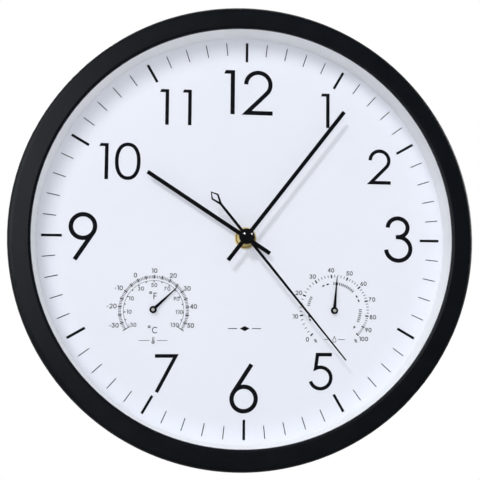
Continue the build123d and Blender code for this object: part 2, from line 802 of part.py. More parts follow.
with BuildPart() as second_wheel:
    add_disc(second_arbor_radius, pivot_rear, second_hand_depth + hand_thickness)
    add_gear(second_wheel_teeth, second_module, second_wheel_depth, second_wheel_depth + wheel_thickness)
    add_gear(second_pinion_teeth, third_module, second_wheel_depth,
             third_wheel_depth + wheel_thickness + wheel_gap / 2)
save(second_wheel, "second_wheel")

with BuildPart() as third_wheel:
    add_disc(small_arbor_radius, pivot_rear, third_boss_depth + pivot_depth, third_place)
    add_gear(third_wheel_teeth, third_module, third_wheel_depth, third_wheel_depth + wheel_thickness,
             third_place, third_phase)
    add_gear(third_pinion_teeth, centre_module, third_wheel_depth,
             centre_wheel_depth + wheel_thickness + wheel_gap / 2, third_place)
save(third_wheel, "third_wheel")

minute_pipe_front = minute_hand_depth + hand_thickness
with BuildPart() as centre_wheel:
    cannon_front = minute_wheel_depth + wheel_thickness + wheel_gap / 2
    add_gear(centre_wheel_teeth, centre_module, centre_wheel_depth, centre_wheel_depth + wheel_thickness,
             phase=centre_phase)
    add_gear(cannon_teeth, cannon_module, centre_wheel_depth, cannon_front)
    add_disc(minute_pipe_radius, centre_wheel_depth, minute_pipe_front)
    add_disc(minute_pipe_bore, centre_wheel_depth, minute_pipe_front, mode=Mode.SUBTRACT)
save(centre_wheel, "centre_wheel")

with BuildPart() as minute_wheel:
    minute_pinion_front = hour_wheel_depth + wheel_thickness + wheel_gap / 2
    add_gear(minute_wheel_teeth, cannon_module, minute_wheel_depth, minute_wheel_depth + wheel_thickness,
             minute_wheel_place, minute_phase)
    add_gear(minute_pinion_teeth, hour_module, minute_wheel_depth, minute_pinion_front, minute_wheel_place)
    add_disc(minute_post_radius + running_gap, minute_wheel_depth, minute_pinion_front,
             minute_wheel_place, Mode.SUBTRACT)
save(minute_wheel, "minute_wheel")

hour_pipe_front = hour_hand_depth + hand_thickness
with BuildPart() as hour_wheel:
    add_gear(hour_wheel_teeth, hour_module, hour_wheel_depth, hour_wheel_depth + wheel_thickness,
             phase=hour_phase)
    add_disc(hour_pipe_radius, hour_wheel_depth, hour_pipe_front)
    add_disc(hour_pipe_bore, hour_wheel_depth, hour_pipe_front, mode=Mode.SUBTRACT)
save(hour_wheel, "hour_wheel")

# Setting knob outside the rear cover, and its pinion on the minute wheel
knob_front = movement_rear - knob_cover_gap
knob_rear = knob_front - knob_height
with BuildPart() as setting_knob:
    with BuildSketch(at_depth(knob_rear, knob_place)):
        Circle(knob_radius)
        with PolarLocations(knob_radius, knob_notch_count):
            Circle(knob_notch_radius, mode=Mode.SUBTRACT)
    extrude(amount=knob_height)
    add_disc(knob_arbor_radius + screw_gap, knob_front - knob_socket_depth, knob_front, knob_place,
             Mode.SUBTRACT)
save(setting_knob, "setting_knob")

with BuildPart() as setting_pinion:
    knob_pinion_front = minute_wheel_depth + wheel_thickness
    add_disc(knob_arbor_radius, knob_front - knob_socket_depth, knob_pinion_front, knob_place)
    add_gear(knob_pinion_teeth, cannon_module, minute_wheel_depth, knob_pinion_front, knob_place, knob_phase)
    add_disc(knob_pivot_radius, knob_pinion_front, knob_boss_depth + pivot_depth, knob_place)
save(setting_pinion, "setting_pinion")


def add_bar_hand(length, tail, width, hub_radius, bore, depth, angle):
    with BuildSketch(at_depth(depth, clock_angle=angle)) as hand:
        with Locations((0, (length - tail) / 2)):
            Rectangle(width, length + tail)
        Circle(hub_radius)
        Circle(bore + screw_gap, mode=Mode.SUBTRACT)
    extrude(hand.sketch, amount=hand_thickness)


# Hour and minute hands: plain bars with square ends
with BuildPart() as hour_hand:
    add_bar_hand(hour_hand_length, hour_hand_tail, hour_hand_width, hour_hub_radius,
                 hour_pipe_radius, hour_hand_depth, hour_angle)
save(hour_hand, "hour_hand")

with BuildPart() as minute_hand:
    add_bar_hand(minute_hand_length, minute_hand_tail, minute_hand_width, minute_hub_radius,
                 minute_pipe_radius, minute_hand_depth, minute_angle)
save(minute_hand, "minute_hand")

# Second hand: a needle whose tail ends in an open kite, on a short collet
half_stem = second_stem_width / 2
half_neck = second_neck_width / 2
collet_rear = minute_hand_depth + hand_thickness + collet_gap
with BuildPart() as second_hand:
    add_outline(
        [
            (-half_stem, 0),
            (-second_tip_width / 2, second_hand_length),
            (second_tip_width / 2, second_hand_length),
            (half_stem, 0),
            (half_neck, -second_neck),
            (kite_half_width, -kite_shoulder),
            (0, -kite_tip),
            (-kite_half_width, -kite_shoulder),
            (-half_neck, -second_neck),
        ],
        second_hand_depth,
        second_hand_depth + hand_thickness,
        clock_angle=second_angle,
    )
    add_outline(
        [
            (0, -second_neck - kite_neck_share * kite_outline),
            (kite_half_width - kite_tip_share * kite_outline, -kite_shoulder),
            (0, -kite_tip + kite_tip_share * kite_outline),
            (-kite_half_width + kite_tip_share * kite_outline, -kite_shoulder),
        ],
        second_hand_depth,
        second_hand_depth + hand_thickness,
        clock_angle=second_angle,
        mode=Mode.SUBTRACT,
    )
    add_disc(second_hub_radius, second_hand_depth, second_hand_depth + hand_thickness)
    add_disc(second_collet_radius, collet_rear, second_hand_depth)
    add_disc(second_arbor_radius + screw_gap, collet_rear,
             second_hand_depth + hand_thickness, mode=Mode.SUBTRACT)
save(second_hand, "second_hand")

# Domed cap over the centre of the hands
with BuildPart() as hand_cap:
    with BuildSketch(turning_plane):
        with BuildLine():
            Polyline((0, cap_rear + cap_side + cap_dome), (0, cap_rear), (cap_radius, cap_rear),
                     (cap_radius, cap_rear + cap_side))
            dome_radius = (cap_radius ** 2 + cap_dome ** 2) / (2 * cap_dome)
            RadiusArc((cap_radius, cap_rear + cap_side), (0, cap_rear + cap_side + cap_dome), -dome_radius)
        make_face()
    revolve(axis=Axis.Y)
save(hand_cap, "hand_cap")


# Thermometer and hygrometer: bracket, coil, arbor, bush, pointer and screws for each


def coil_arc(half_turn, shift):
    # Half turns swap between two centres, so that the strip winds out evenly.
    center = (0.0, 0.0) if half_turn % 2 == 0 else (coil_pitch / 2, 0.0)
    radius = coil_start_radius + half_turn * coil_pitch / 2 + shift
    return center, radius, 180.0 * (half_turn % 2)


def add_coil(center):
    half_strip = coil_strip / 2
    with BuildSketch(at_depth(coil_rear_depth, center)) as strip:
        with BuildLine():
            for half_turn in range(coil_half_turns):
                for shift in (-half_strip, half_strip):
                    arc_center, radius, start_angle = coil_arc(half_turn, shift)
                    CenterArc(arc_center, radius, start_angle, 180)
            Line((coil_start_radius - half_strip, 0), (coil_start_radius + half_strip, 0))
            Polyline(
                (-coil_end_radius + half_strip, 0),
                (-coil_end_radius + half_strip, -coil_tail),
                (-coil_end_radius - half_strip, -coil_tail),
                (-coil_end_radius - half_strip, 0),
            )
        make_face()
    extrude(strip.sketch, amount=coil_height)


def least_coil_gap():
    points = []
    for half_turn in range(coil_half_turns):
        arc_center, radius, start_angle = coil_arc(half_turn, 0.0)
        for step in range(coil_gap_samples):
            points.append(polar(radius, start_angle + 180 * step / coil_gap_samples, arc_center))
    far_pairs = [
        hypot(points[i][0] - points[j][0], points[i][1] - points[j][1])
        for i in range(len(points))
        for j in range(i + coil_gap_samples, len(points))
    ]
    return min(far_pairs) - coil_strip


print(f"least gap between the turns of a gauge coil: {least_coil_gap():.2f} mm")


def add_bracket(center):
    foot_rear = rib_rear - bracket_thickness
    foot_end = bracket_half_span + bracket_foot_length
    leg_inside = bracket_half_span - bracket_thickness
    right_side = [
        (bracket_half_span, bracket_rear_depth),
        (bracket_half_span, foot_rear),
        (foot_end, foot_rear),
        (foot_end, rib_rear),
        (leg_inside, rib_rear),
        (leg_inside, bracket_front_depth),
    ]
    left_side = [(-across, depth) for across, depth in reversed(right_side)]
    outline = [(center[0] + across, -depth) for across, depth in right_side + left_side]
    with BuildSketch(Plane.XY.offset(center[1] - bracket_width / 2)) as bridge:
        with BuildLine():
            Polyline(*outline, close=True)
        make_face()
    extrude(bridge.sketch, amount=bracket_width)
    lug_right = center[0] - coil_end_radius - coil_strip / 2
    add_plate(lug_right - bracket_thickness, lug_right, center[1] - coil_tail, center[1],
              bracket_front_depth, coil_rear_depth + coil_height)
    add_disc(gauge_arbor_radius + running_gap, bracket_rear_depth, bracket_front_depth, center,
             Mode.SUBTRACT)
    for side in (-1, 1):
        add_disc(gauge_screw_radius + screw_gap, foot_rear, rib_rear,
                 (center[0] + side * bracket_screw_reach, center[1]), Mode.SUBTRACT)


def add_pointer(center, angle):
    add_outline(
        [
            (-pointer_hub_width / 2, -pointer_tail),
            (-pointer_hub_width / 2, 0),
            (-pointer_tip_width / 2, pointer_length),
            (pointer_tip_width / 2, pointer_length),
            (pointer_hub_width / 2, 0),
            (pointer_hub_width / 2, -pointer_tail),
        ],
        pointer_depth,
        pointer_depth + pointer_thickness,
        center,
        angle,
    )
    add_disc(pointer_hub_radius, pointer_depth, pointer_depth + pointer_hub_height, center)
    add_disc(gauge_arbor_radius + screw_gap, pointer_depth, pointer_depth + pointer_hub_height, center,
             Mode.SUBTRACT)


def add_gauge_arbor(center):
    pin_front = pointer_depth + pointer_hub_height + gauge_pin_rise
    add_disc(gauge_arbor_radius, bracket_rear_depth - bracket_thickness / 2, pin_front, center)
    add_disc(collar_radius, coil_rear_depth, coil_rear_depth + coil_height, center)


def add_gauge_bush(center):
    flange_rear = recess_depth - gauge_bush_flange_thickness
    add_disc(gauge_bush_flange, flange_rear, recess_depth, center)
    add_disc(gauge_bush_radius, recess_depth, floor_front, center)
    add_disc(gauge_arbor_radius + running_gap, flange_rear, floor_front, center, Mode.SUBTRACT)


def add_gauge_screws(center):
    for side in (-1, 1):
        add_screw((center[0] + side * bracket_screw_reach, center[1]), rib_rear - bracket_thickness,
                  gauge_screw_radius, gauge_screw_head_radius, gauge_screw_head_height,
                  bracket_thickness + gauge_screw_length - loose_gap)


for gauge, place, angle in (
    ("thermometer", gauge_places[0], thermometer_angle),
    ("hygrometer", gauge_places[1], hygrometer_angle),
):
    with BuildPart() as bracket:
        add_bracket(place)
    save(bracket, f"{gauge}_bracket")
    with BuildPart() as coil:
        add_coil(place)
    save(coil, f"{gauge}_coil")
    with BuildPart() as arbor:
        add_gauge_arbor(place)
    save(arbor, f"{gauge}_arbor")
    with BuildPart() as bush:
        add_gauge_bush(place)
    save(bush, f"{gauge}_bush")
    with BuildPart() as pointer:
        add_pointer(place, angle)
    save(pointer, f"{gauge}_pointer")
    with BuildPart() as screws:
        add_gauge_screws(place)
    save(screws, f"{gauge}_screws")
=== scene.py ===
import json
from math import cos, hypot, pi, radians, sin

import bpy
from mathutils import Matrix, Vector
from mathutils.geometry import delaunay_2d_cdt


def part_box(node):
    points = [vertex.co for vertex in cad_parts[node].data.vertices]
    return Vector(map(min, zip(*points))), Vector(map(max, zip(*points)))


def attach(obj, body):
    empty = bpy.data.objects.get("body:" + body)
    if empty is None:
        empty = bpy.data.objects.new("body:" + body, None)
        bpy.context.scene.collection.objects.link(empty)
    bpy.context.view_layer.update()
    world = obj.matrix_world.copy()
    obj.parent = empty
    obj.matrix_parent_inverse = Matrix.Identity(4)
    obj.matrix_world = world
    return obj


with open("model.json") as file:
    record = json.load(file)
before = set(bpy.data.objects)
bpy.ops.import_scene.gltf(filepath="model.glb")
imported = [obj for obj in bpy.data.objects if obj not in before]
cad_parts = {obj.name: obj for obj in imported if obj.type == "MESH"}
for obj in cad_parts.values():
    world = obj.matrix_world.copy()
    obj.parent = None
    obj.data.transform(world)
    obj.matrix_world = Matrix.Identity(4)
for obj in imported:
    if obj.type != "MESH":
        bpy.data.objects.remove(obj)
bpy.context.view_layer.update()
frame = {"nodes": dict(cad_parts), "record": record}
nodes = frame["nodes"]
slotOf = {part["node"]: part["material_slot"] for part in frame["record"]["subparts"]}
mm = 0.001


# Finishes
noiseSpan = (0.3, 0.7)  # noise seldom leaves this middle stretch
plainWhite = (1.0, 1.0, 1.0, 1.0)


def addNode(tree, kind, inputs=None, **settings):
    made = tree.nodes.new(kind)
    for key, value in settings.items():
        setattr(made, key, value)
    for key, value in (inputs or {}).items():
        if isinstance(value, bpy.types.NodeSocket):
            tree.links.new(value, made.inputs[key])
        else:
            made.inputs[key].default_value = value
    return made


def sums(tree, kind, *values):
    return addNode(tree, "ShaderNodeMath", dict(enumerate(values)), operation=kind).outputs[0]


def mixValues(tree, share, low, high):
    return addNode(tree, "ShaderNodeMix", {0: share, 2: low, 3: high}).outputs[0]


def mixColors(tree, share, low, high):
    return addNode(tree, "ShaderNodeMix", {0: share, 6: low, 7: high}, data_type="RGBA").outputs[2]


def ramped(tree, value, first, last, low=0.0, high=1.0, **settings):
    ends = {"Value": value, "From Min": first, "From Max": last, "To Min": low, "To Max": high}
    return addNode(tree, "ShaderNodeMapRange", ends, **settings).outputs["Result"]


def blendColors(tree, share, colors):
    ramp = addNode(tree, "ShaderNodeValToRGB", {"Fac": share})
    for stop, color, place in zip(ramp.color_ramp.elements, colors, noiseSpan):
        stop.color = (*color, 1.0)
        stop.position = place
    return ramp.outputs["Color"]


def startFinish(name, fixed):
    finish = bpy.data.materials.new(name)
    finish.use_nodes = True
    skin = finish.node_tree.nodes["Principled BSDF"]
    for key, value in fixed.items():
        skin.inputs[key].default_value = value
    return finish, finish.node_tree, skin


def objectSpot(tree, stretch=(1.0, 1.0, 1.0)):
    spot = addNode(tree, "ShaderNodeTexCoord").outputs["Object"]
    return addNode(tree, "ShaderNodeMapping", {"Vector": spot, "Scale": stretch}).outputs["Vector"]


def reachFrom(tree, axes):  # distance from the origin along the axes that aren't zero
    spot = objectSpot(tree, axes)
    return addNode(tree, "ShaderNodeVectorMath", {0: spot}, operation="LENGTH").outputs["Value"]


def grainNoise(tree, spot, perMetre, detail=4.0):
    sizes = {"Vector": spot, "Scale": perMetre, "Detail": detail}
    return addNode(tree, "ShaderNodeTexNoise", sizes).outputs["Fac"]


def paint(tree, skin, color, roughShare, rough):
    tree.links.new(color, skin.inputs["Base Color"])
    tree.links.new(ramped(tree, roughShare, *noiseSpan, *rough), skin.inputs["Roughness"])


def bumpUp(tree, skin, height, depth):
    bump = addNode(tree, "ShaderNodeBump", {"Height": height, "Distance": depth, "Strength": 1.0})
    tree.links.new(bump.outputs["Normal"], skin.inputs["Normal"])


patches = {"wide": 30.0, "detail": 2.0}  # broad cloudiness under the grain, measured in grains


def grainedFinish(name, look):
    finish, tree, skin = startFinish(name, look.get("fixed", {}))
    spot = objectSpot(tree, look.get("stretch", (1.0, 1.0, 1.0)))
    fine = grainNoise(tree, spot, look["grain"])
    broad = grainNoise(tree, spot, look["grain"] / look.get("patch", patches["wide"]), patches["detail"])
    share = sums(tree, "MULTIPLY", sums(tree, "ADD", fine, broad), 0.5)
    paint(tree, skin, blendColors(tree, share, look["colors"]), share, look["rough"])
    bumpUp(tree, skin, fine, look["depth"])
    return finish


metal = {"Metallic": 1.0}
looks = {
    "black_plastic": {"colors": [(0.0026, 0.0036, 0.0054), (0.0042, 0.0056, 0.0080)], "rough": (0.44, 0.54),
                      "grain": 2400.0, "depth": 0.012 * mm, "fixed": {"Specular IOR Level": 0.16}},
    "white_plastic": {"colors": [(0.91, 0.92, 0.94), (0.94, 0.95, 0.97)], "rough": (0.36, 0.46),
                      "grain": 1600.0, "depth": 0.008 * mm},
    "zinc_steel": {"colors": [(0.50, 0.52, 0.55), (0.66, 0.68, 0.70)], "rough": (0.28, 0.44),
                   "grain": 1800.0, "depth": 0.006 * mm, "patch": 12.0, "fixed": metal},
    "movement_plastic": {"colors": [(0.0110, 0.0112, 0.0120), (0.0170, 0.0172, 0.0184)],
                         "rough": (0.46, 0.58), "grain": 3200.0, "depth": 0.014 * mm},
    "rubber": {"colors": [(0.016, 0.016, 0.016), (0.026, 0.026, 0.026)], "rough": (0.72, 0.86),
               "grain": 2600.0, "depth": 0.012 * mm},
    "spring_brass": {"colors": [(0.52, 0.49, 0.42), (0.66, 0.62, 0.53)], "rough": (0.22, 0.34),
                     "grain": 1500.0, "depth": 0.004 * mm, "fixed": metal},
    "chip_resin": {"colors": [(0.006, 0.006, 0.006), (0.011, 0.011, 0.011)], "rough": (0.16, 0.26),
                   "grain": 900.0, "depth": 0.010 * mm},
    "motor_iron": {"colors": [(0.30, 0.30, 0.31), (0.42, 0.42, 0.43)], "rough": (0.36, 0.52),
                   "grain": 2200.0, "depth": 0.008 * mm, "fixed": metal},
    "magnet": {"colors": [(0.14, 0.14, 0.15), (0.22, 0.22, 0.23)], "rough": (0.50, 0.66),
               "grain": 4200.0, "depth": 0.014 * mm, "fixed": metal},
    "gear_plastic": {"colors": [(0.74, 0.73, 0.67), (0.82, 0.81, 0.75)], "rough": (0.30, 0.40),
                     "grain": 1800.0, "depth": 0.006 * mm},
    "black_hand": {"colors": [(0.0018, 0.0022, 0.0034), (0.0030, 0.0034, 0.0050)], "rough": (0.36, 0.46),
                   "grain": 2600.0, "depth": 0.006 * mm, "fixed": {"Specular IOR Level": 0.08}},
    "gloss_black": {"colors": [(0.0016, 0.0020, 0.0028), (0.0028, 0.0032, 0.0042)], "rough": (0.05, 0.09),
                    "grain": 700.0, "depth": 0.002 * mm,
                    "fixed": {"Coat Weight": 0.8, "Coat Roughness": 0.03}},
    "bimetal": {"colors": [(0.46, 0.36, 0.22), (0.60, 0.50, 0.34)], "rough": (0.26, 0.40),
                "grain": 900.0, "depth": 0.005 * mm, "stretch": (1.0, 6.0, 1.0), "fixed": metal},
    "humidity_strip": {"colors": [(0.52, 0.50, 0.44), (0.66, 0.64, 0.57)], "rough": (0.34, 0.48),
                       "grain": 900.0, "depth": 0.005 * mm, "stretch": (1.0, 6.0, 1.0), "fixed": metal},
    "steel_pin": {"colors": [(0.80, 0.80, 0.78), (0.90, 0.90, 0.87)], "rough": (0.44, 0.58),
                  "grain": 1400.0, "depth": 0.003 * mm, "stretch": (1.0, 5.0, 1.0),
                  "fixed": {"Metallic": 0.6}},
}
finishes = {slot: grainedFinish(slot, look) for slot, look in looks.items()}


cardLook = {"colors": [(0.762, 0.782, 0.866), (0.794, 0.814, 0.898)], "rough": (0.50, 0.62),
            "fibre": 1300.0, "fibreDetail": 6.0, "fibreStretch": (1.0, 1.0, 3.0), "cloud": 14.0,
            "cloudDetail": 2.0, "cloudShare": 0.35, "depth": 0.006 * mm,
            "fixed": {"Specular IOR Level": 0.35}}


def dialCard():
    finish, tree, skin = startFinish("printed_paper", cardLook["fixed"])
    along = objectSpot(tree, cardLook["fibreStretch"])
    fibre = grainNoise(tree, along, cardLook["fibre"], cardLook["fibreDetail"])
    cloud = grainNoise(tree, objectSpot(tree), cardLook["cloud"], cardLook["cloudDetail"])
    share = mixValues(tree, cardLook["cloudShare"], fibre, cloud)
    paint(tree, skin, blendColors(tree, share, cardLook["colors"]), fibre, cardLook["rough"])
    bumpUp(tree, skin, fibre, cardLook["depth"])
    return finish


# The brass carries a painted shade line, with some dirt, at the nut's edge
brassLook = {"colors": [(0.88, 0.70, 0.28), (0.97, 0.83, 0.45)], "rough": (0.40, 0.58), "rings": 900.0,
             "wobble": 1.2, "mottle": 260.0, "depth": 0.008 * mm, "seamShade": (0.26, 0.17, 0.05, 1.0),
             "seamShadeSpan": (0.15 * mm, 0.35 * mm), "fixed": {"Metallic": 0.62}}


def turnedBrass():
    finish, tree, skin = startFinish("brass", brassLook["fixed"])
    spot = objectSpot(tree)
    turning = {"Vector": spot, "Scale": brassLook["rings"], "Distortion": brassLook["wobble"]}
    rings = addNode(tree, "ShaderNodeTexWave", turning, wave_type="RINGS", rings_direction="Y").outputs["Fac"]
    color = blendColors(tree, grainNoise(tree, spot, brassLook["mottle"]), brassLook["colors"])
    low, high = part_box("dial_nut")
    fromEdge = sums(tree, "SUBTRACT", reachFrom(tree, (1.0, 0.0, 1.0)), (high.x - low.x) / 2)
    seamDirtAndShade = ramped(tree, sums(tree, "ABSOLUTE", fromEdge), *brassLook["seamShadeSpan"], 1.0, 0.0)
    color = mixColors(tree, seamDirtAndShade, color, brassLook["seamShade"])  # dark line where the nut meets its washer: painted shade of the step, with some dirt
    paint(tree, skin, color, rings, brassLook["rough"])
    bumpUp(tree, skin, rings, brassLook["depth"])
    return finish


jacketLook = {"body": (0.030, 0.033, 0.040, 1.0), "cap": (0.42, 0.24, 0.07, 1.0), "capShare": 0.24,
              "seam": 0.2 * mm, "rough": (0.20, 0.30), "scuff": 700.0, "depth": 0.004 * mm,
              "fixed": {"Metallic": 0.6}}


def batteryJacket():
    finish, tree, skin = startFinish("battery_jacket", jacketLook["fixed"])
    low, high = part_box("battery")
    spot = objectSpot(tree)
    along = addNode(tree, "ShaderNodeSeparateXYZ", {"Vector": spot}).outputs["X"]
    split = high.x - (high.x - low.x) * jacketLook["capShare"]
    band = ramped(tree, along, split, split + jacketLook["seam"])
    scuff = grainNoise(tree, spot, jacketLook["scuff"])
    color = mixColors(tree, band, jacketLook["body"], jacketLook["cap"])
    paint(tree, skin, color, scuff, jacketLook["rough"])
    bumpUp(tree, skin, scuff, jacketLook["depth"])
    return finish


boardLook = {"colors": [(0.018, 0.080, 0.028), (0.030, 0.110, 0.042)], "rough": (0.30, 0.42), "weave": 1500.0,
             "grain": 900.0, "depth": 0.004 * mm}


def boardLaminate():
    finish, tree, skin = startFinish("board_laminate", {})
    spot = objectSpot(tree)
    squares = {"Vector": spot, "Scale": boardLook["weave"]}
    weave = addNode(tree, "ShaderNodeTexChecker", squares).outputs["Fac"]
    fine = grainNoise(tree, spot, boardLook["grain"])
    paint(tree, skin, blendColors(tree, fine, boardLook["colors"]), fine, boardLook["rough"])
    bumpUp(tree, skin, weave, boardLook["depth"])
    return finish


wireLook = {"colors": [(0.42, 0.13, 0.045), (0.66, 0.27, 0.12)], "rough": (0.22, 0.34), "turns": 2600.0,
            "wobble": 0.6, "grain": 1200.0, "depth": 0.03 * mm,
            "fixed": {"Metallic": 1.0, "Coat Weight": 0.5}}


def enamelledWire():
    finish, tree, skin = startFinish("copper_wire", wireLook["fixed"])
    spot = objectSpot(tree)
    winding = {"Vector": spot, "Scale": wireLook["turns"], "Distortion": wireLook["wobble"]}
    turns = addNode(tree, "ShaderNodeTexWave", winding, bands_direction="Z").outputs["Fac"]
    grain = grainNoise(tree, spot, wireLook["grain"])
    paint(tree, skin, blendColors(tree, turns, wireLook["colors"]), grain, wireLook["rough"])
    bumpUp(tree, skin, turns, wireLook["depth"])
    return finish


paneLook = {"colors": [(0.972, 0.985, 0.980), (0.980, 0.990, 0.987)], "mottle": 9.0,
            "fixed": {"Transmission Weight": 1.0, "IOR": 1.45, "Roughness": 0.0}}


def clearGlass():
    finish, tree, skin = startFinish("clear_glass", paneLook["fixed"])
    mottle = grainNoise(tree, objectSpot(tree), paneLook["mottle"])
    tree.links.new(blendColors(tree, mottle, paneLook["colors"]), skin.inputs["Base Color"])
    rays = addNode(tree, "ShaderNodeLightPath").outputs
    clear = addNode(tree, "ShaderNodeBsdfTransparent").outputs["BSDF"]
    glass = shown = skin.outputs["BSDF"]
    for kind, other in (("Is Glossy Ray", clear), ("Is Transmission Ray", glass), ("Is Diffuse Ray", clear),
                        ("Is Shadow Ray", clear)):  # lamps and the room light the dial straight through
        shown = addNode(tree, "ShaderNodeMixShader", {0: rays[kind], 1: shown, 2: other}).outputs[0]
    tree.links.new(shown, tree.nodes["Material Output"].inputs["Surface"])
    return finish


inkLook = {"colors": [(0.0026, 0.0032, 0.0052), (0.0044, 0.0050, 0.0076)], "rough": (0.50, 0.62),
           "grain": 2600.0, "depth": 0.004 * mm, "fixed": {"Specular IOR Level": 0.1}}

finishes.update({"printed_paper": dialCard(), "brass": turnedBrass(), "battery_jacket": batteryJacket(),
                 "board_laminate": boardLaminate(), "copper_wire": enamelledWire(),
                 "clear_glass": clearGlass()})
dialInk = grainedFinish("dial_ink", inkLook)

for name, node in nodes.items():
    node.data.materials.clear()
    node.data.materials.append(finishes[slotOf[name]])
print("finishes:", len(finishes) + 1)


# Printing on the dial: flat strokes joined into one thin slab of ink, drawn in millimetres
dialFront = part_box("dial")[0].y
ink = {"height": 0.05 * mm, "sunk": 0.02 * mm, "clean": 1e-5, "mitreLimit": 0.36}


def arcPoints(cx, cy, rx, ry, start, end, steps=28):
    angles = [radians(start + (end - start) * i / steps) for i in range(steps + 1)]
    return [(cx + rx * cos(a), cy + ry * sin(a)) for a in angles]


def ovalPoints(cx, cy, rx, ry, steps=28):
    return arcPoints(cx, cy, rx, ry, 0, 360, steps)[:-1]


def squaredOval(cx, cy, rx, ry, power=2.25, steps=56):
    points = []
    for i in range(steps):
        c, s = cos(2 * pi * i / steps), sin(2 * pi * i / steps)
        points.append((cx + rx * abs(c) ** (2 / power) * (1 if c > 0 else -1),
                       cy + ry * abs(s) ** (2 / power) * (1 if s > 0 else -1)))
    return points


def strokeQuads(points, width, style):
    closed = style == "closed"
    count = len(points)
    if style == "square":  # both ends run on by half a stroke
        (ax, ay), (bx, by) = points[0], points[-1]
        reach = width / 2 / hypot(bx - ax, by - ay)
        points = [(ax - (bx - ax) * reach, ay - (by - ay) * reach),
                  (bx + (bx - ax) * reach, by + (by - ay) * reach)]
    sides = []
    for i, (x, y) in enumerate(points):
        runs = []
        for a, b in ((i - 1, i), (i, i + 1)):
            if closed or (a >= 0 and b < count):
                (ax, ay), (bx, by) = points[a % count], points[b % count]
                size = hypot(bx - ax, by - ay)
                runs.append(((bx - ax) / size, (by - ay) / size))
        nx, ny = -sum(r[1] for r in runs), sum(r[0] for r in runs)
        size = hypot(nx, ny)
        nx, ny = nx / size, ny / size
        lean = -nx * runs[0][1] + ny * runs[0][0]
        reach = width / 2 / max(lean, ink["mitreLimit"])  # mitred, but no long spikes
        sides.append(((x + nx * reach, y + ny * reach), (x - nx * reach, y - ny * reach)))
    pairs = list(zip(sides, sides[1:] + sides[:1])) if closed else list(zip(sides, sides[1:]))
    return [[a[0], a[1], b[1], b[0]] for a, b in pairs]


# Centre lines of the signs, one unit tall
digitPaths = {
    "0": [(squaredOval(0.318, 0.5, 0.318, 0.5), "closed")],
    "1": [([(0.0, 0.0), (0.0, 1.0)], "square")],
    "2": [(arcPoints(0.298, 0.702, 0.298, 0.298, 180, -45) + [(0.016, 0.0), (0.654, 0.0)], "open")],
    "3": [(arcPoints(0.281, 0.779, 0.241, 0.222, 180, -90) + [(0.2335, 0.557)], "open"),
          ([(0.2335, 0.557)] + arcPoints(0.293, 0.278, 0.293, 0.278, 90, -176), "open")],
    "4": [([(0.44, 0.0), (0.44, 1.0)], "square"), ([(0.44, 1.0), (0.0, 0.3), (0.62, 0.3)], "open")],
    "5": [([(0.661, 1.0), (0.2254, 1.0), (0.1715, 0.594)] + arcPoints(0.314, 0.314, 0.314, 0.314, 117, -162),
           "open")],
    "6": [(ovalPoints(0.262, 0.262, 0.262, 0.262), "closed"), ([(0.4274, 1.0), (0.0434, 0.4067)], "open")],
    "7": [([(0.0, 1.0), (0.577, 1.0), (0.055, 0.0)], "open")],
    "8": [(ovalPoints(0.28, 0.77, 0.22, 0.23), "closed"), (ovalPoints(0.28, 0.27, 0.28, 0.27), "closed")],
    "-": [([(0.0, 0.42), (0.36, 0.42)], "open")],
    "%": [([(0.12, 0.0), (0.62, 1.0)], "open"), (ovalPoints(0.13, 0.77, 0.15, 0.21, steps=20), "closed"),
          (ovalPoints(0.61, 0.23, 0.15, 0.21, steps=20), "closed")],
    "C": [(arcPoints(0.46, 0.5, 0.46, 0.5, 45, 315), "open")],
    "F": [([(0.0, 0.0), (0.0, 1.0)], "square"), ([(0.0, 1.0), (0.52, 1.0)], "open"),
          ([(0.0, 0.5), (0.44, 0.5)], "open")],
    "o": [(ovalPoints(0.17, 0.84, 0.17, 0.17, steps=20), "closed")],  # the degree ring
}
digitPaths["9"] = [([(0.5246 - x, 1.0 - y) for x, y in points], style) for points, style in digitPaths["6"]]
flag = {"top": 1.15, "foot": 1.55, "tall": 0.87}  # on the 1, in widths of the pen


def signQuads(sign, height, pen):
    scale = height - pen
    quads = []
    for points, style in digitPaths[sign]:
        quads += strokeQuads([(x * scale, y * scale) for x, y in points], pen, style)
    if sign == "1":  # its flag has a slanted end
        top, side = scale + pen / 2, -pen / 2
        foot = top - flag["tall"] * pen
        quads.append([(side, top), (side - flag["top"] * pen, top), (side - flag["foot"] * pen, foot),
                      (side, foot)])
    return quads


def extent(quads):
    xs = [x for quad in quads for x, y in quad]
    ys = [y for quad in quads for x, y in quad]
    return min(xs), min(ys), max(xs), max(ys)


def moved(quads, dx, dy):
    return [[(x + dx, y + dy) for x, y in quad] for quad in quads]


def signsAt(text, x, y, height, pen, gap):  # centred on x, y
    run, right = [], 0.0
    for sign in text:
        quads = signQuads(sign, height, pen)
        box = extent(quads)
        run.append(moved(quads, right - box[0], 0.0))
        right += box[2] - box[0] + gap
    return [moved(quads, x - (right - gap) / 2, y - (height - pen) / 2) for quads in run]


def inkMesh(name, groups):
    verts, faces = [], []
    top, bottom = dialFront - ink["height"], dialFront + ink["sunk"]
    for quads in groups:
        flat, corners = [], []
        for quad in quads:
            corners.append(list(range(len(flat), len(flat) + len(quad))))
            flat += [Vector(point) for point in quad]
        spots, _, parts, _, _, sources = delaunay_2d_cdt(flat, [], corners, 1, ink["clean"])
        kept = [part for part, source in zip(parts, sources) if source]
        first, count = len(verts), len(spots)
        for y in (top, bottom):
            verts += [(p.x * mm, y, p.y * mm) for p in spots]
        edges = {(a, b) for part in kept for a, b in zip(part, part[1:] + part[:1])}
        for part in kept:
            faces.append([first + i for i in part])
            faces.append([first + count + i for i in reversed(part)])
        for a, b in edges:
            if (b, a) not in edges:
                faces.append([first + b, first + a, first + count + a, first + count + b])
    mesh = bpy.data.meshes.new(name)
    mesh.from_pydata(verts, [], faces)
    mesh.update()
    return mesh


